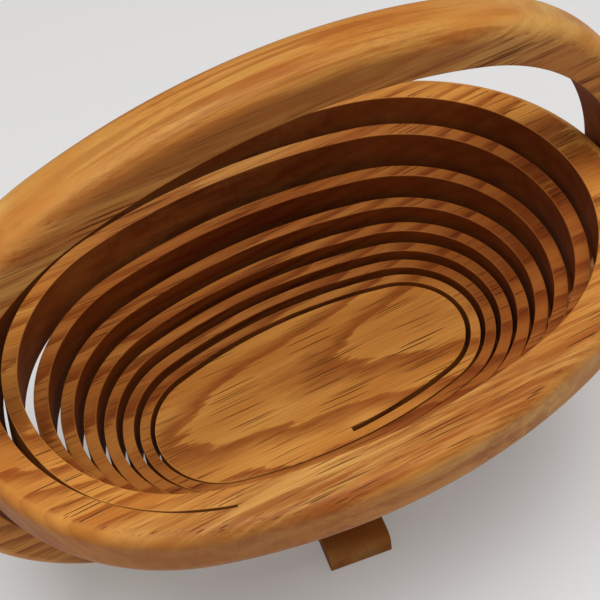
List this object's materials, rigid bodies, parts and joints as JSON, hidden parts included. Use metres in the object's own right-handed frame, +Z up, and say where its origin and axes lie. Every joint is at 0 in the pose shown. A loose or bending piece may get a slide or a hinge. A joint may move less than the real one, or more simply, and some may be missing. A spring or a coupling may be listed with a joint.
{
  "type": "folding basket",
  "caption": "Oval wooden basket whose spiral-cut middle hangs down as a bowl, inside a ring that turns on end screws to be handle above and stand below, with a swivel foot.",
  "frame": {"origin": "on the floor under the middle of the foot, below the middle of the pivot axis", "axes": "+X along the pivot axis and the long way of the basket, +Y to the back, +Z up"},
  "size_m": [0.2432, 0.153, 0.1917],
  "materials": {
    "oak": "oiled red oak, satin",
    "brass": "plain brass"
  },
  "bodies": {
    "stand": {"ring": "oak", "foot_screw": "brass", "foot_washer": "brass"},
    "basket": {"rim": "oak", "pivot_screw_left": "brass", "pivot_screw_right": "brass", "pivot_washer_left": "brass", "pivot_washer_right": "brass"},
    "foot": {"foot": "oak"},
    "panel": {"panel": "oak"},
    "strip_01": {"strip_01": "oak"},
    "strip_02": {"strip_02": "oak"},
    "strip_03": {"strip_03": "oak"},
    "strip_04": {"strip_04": "oak"},
    "strip_05": {"strip_05": "oak"},
    "strip_06": {"strip_06": "oak"},
    "strip_07": {"strip_07": "oak"},
    "strip_08": {"strip_08": "oak"},
    "strip_09": {"strip_09": "oak"},
    "strip_10": {"strip_10": "oak"},
    "strip_11": {"strip_11": "oak"},
    "strip_12": {"strip_12": "oak"},
    "strip_13": {"strip_13": "oak"},
    "strip_14": {"strip_14": "oak"}
  },
  "joints": [
    {"name": "basket_tip", "type": "hinge", "parent": "stand", "child": "basket", "pos_m": [0, 0, 0.1006], "axis": [1, 0, 0], "range_deg": [-90, 90]},
    {"name": "foot_swivel", "type": "hinge", "parent": "stand", "child": "foot", "pos_m": [0, 0, 0.0045], "axis": [0, 0, 1], "range_deg": [-82, 8]},
    {"name": "panel_lift", "type": "slide", "parent": "basket", "child": "panel", "axis": [0, 0, 1], "range_m": [0, 0.0482]},
    {"name": "strip_01_tilt", "type": "hinge", "parent": "basket", "child": "strip_01", "pos_m": [0, -0.05825, 0.1006], "axis": [1, 0, 0], "range_deg": [-0.02, 3.99]},
    {"name": "strip_02_tilt", "type": "hinge", "parent": "strip_01", "child": "strip_02", "pos_m": [0, 0.0617, 0.09228], "axis": [1, 0, 0], "range_deg": [-7.59, 0.02]},
    {"name": "strip_03_tilt", "type": "hinge", "parent": "strip_02", "child": "strip_03", "pos_m": [0, -0.05898, 0.08468], "axis": [1, 0, 0], "range_deg": [-0.02, 6.75]},
    {"name": "strip_04_tilt", "type": "hinge", "parent": "strip_03", "child": "strip_04", "pos_m": [0, 0.05571, 0.07841], "axis": [1, 0, 0], "range_deg": [-5.87, 0.02]},
    {"name": "strip_05_tilt", "type": "hinge", "parent": "strip_04", "child": "strip_05", "pos_m": [0, -0.05308, 0.07324], "axis": [1, 0, 0], "range_deg": [-0.02, 5.12]},
    {"name": "strip_06_tilt", "type": "hinge", "parent": "strip_05", "child": "strip_06", "pos_m": [0, 0.04991, 0.06897], "axis": [1, 0, 0], "range_deg": [-4.47, 0.02]},
    {"name": "strip_07_tilt", "type": "hinge", "parent": "strip_06", "child": "strip_07", "pos_m": [0, -0.04739, 0.06544], "axis": [1, 0, 0], "range_deg": [-0.02, 3.91]},
    {"name": "strip_08_tilt", "type": "hinge", "parent": "strip_07", "child": "strip_08", "pos_m": [0, 0.04432, 0.06254], "axis": [1, 0, 0], "range_deg": [-3.43, 0.02]},
    {"name": "strip_09_tilt", "type": "hinge", "parent": "strip_08", "child": "strip_09", "pos_m": [0, -0.04191, 0.06014], "axis": [1, 0, 0], "range_deg": [-0.02, 3.01]},
    {"name": "strip_10_tilt", "type": "hinge", "parent": "strip_09", "child": "strip_10", "pos_m": [0, 0.03895, 0.05816], "axis": [1, 0, 0], "range_deg": [-2.66, 0.02]},
    {"name": "strip_11_tilt", "type": "hinge", "parent": "strip_10", "child": "strip_11", "pos_m": [0, -0.03665, 0.05653], "axis": [1, 0, 0], "range_deg": [-0.02, 2.35]},
    {"name": "strip_12_tilt", "type": "hinge", "parent": "strip_11", "child": "strip_12", "pos_m": [0, 0.0338, 0.05518], "axis": [1, 0, 0], "range_deg": [-2.09, 0.02]},
    {"name": "strip_13_tilt", "type": "hinge", "parent": "strip_12", "child": "strip_13", "pos_m": [0, -0.03161, 0.05407], "axis": [1, 0, 0], "range_deg": [-0.02, 1.86]},
    {"name": "strip_14_tilt", "type": "hinge", "parent": "strip_13", "child": "strip_14", "pos_m": [0, 0.02888, 0.05316], "axis": [1, 0, 0], "range_deg": [-1.67, 0.02]}
  ],
  "couplings": [
    {"joint": "strip_01_tilt", "follows": "panel_lift", "rad_per_m": 1.4359},
    {"joint": "strip_02_tilt", "follows": "panel_lift", "rad_per_m": -2.741},
    {"joint": "strip_03_tilt", "follows": "panel_lift", "rad_per_m": 2.4384},
    {"joint": "strip_04_tilt", "follows": "panel_lift", "rad_per_m": -2.1194},
    {"joint": "strip_05_tilt", "follows": "panel_lift", "rad_per_m": 1.8455},
    {"joint": "strip_06_tilt", "follows": "panel_lift", "rad_per_m": -1.6102},
    {"joint": "strip_07_tilt", "follows": "panel_lift", "rad_per_m": 1.4079},
    {"joint": "strip_08_tilt", "follows": "panel_lift", "rad_per_m": -1.2339},
    {"joint": "strip_09_tilt", "follows": "panel_lift", "rad_per_m": 1.0842},
    {"joint": "strip_10_tilt", "follows": "panel_lift", "rad_per_m": -0.95531},
    {"joint": "strip_11_tilt", "follows": "panel_lift", "rad_per_m": 0.84435},
    {"joint": "strip_12_tilt", "follows": "panel_lift", "rad_per_m": -0.74885},
    {"joint": "strip_13_tilt", "follows": "panel_lift", "rad_per_m": 0.6667},
    {"joint": "strip_14_tilt", "follows": "panel_lift", "rad_per_m": -0.59615}
  ]
}
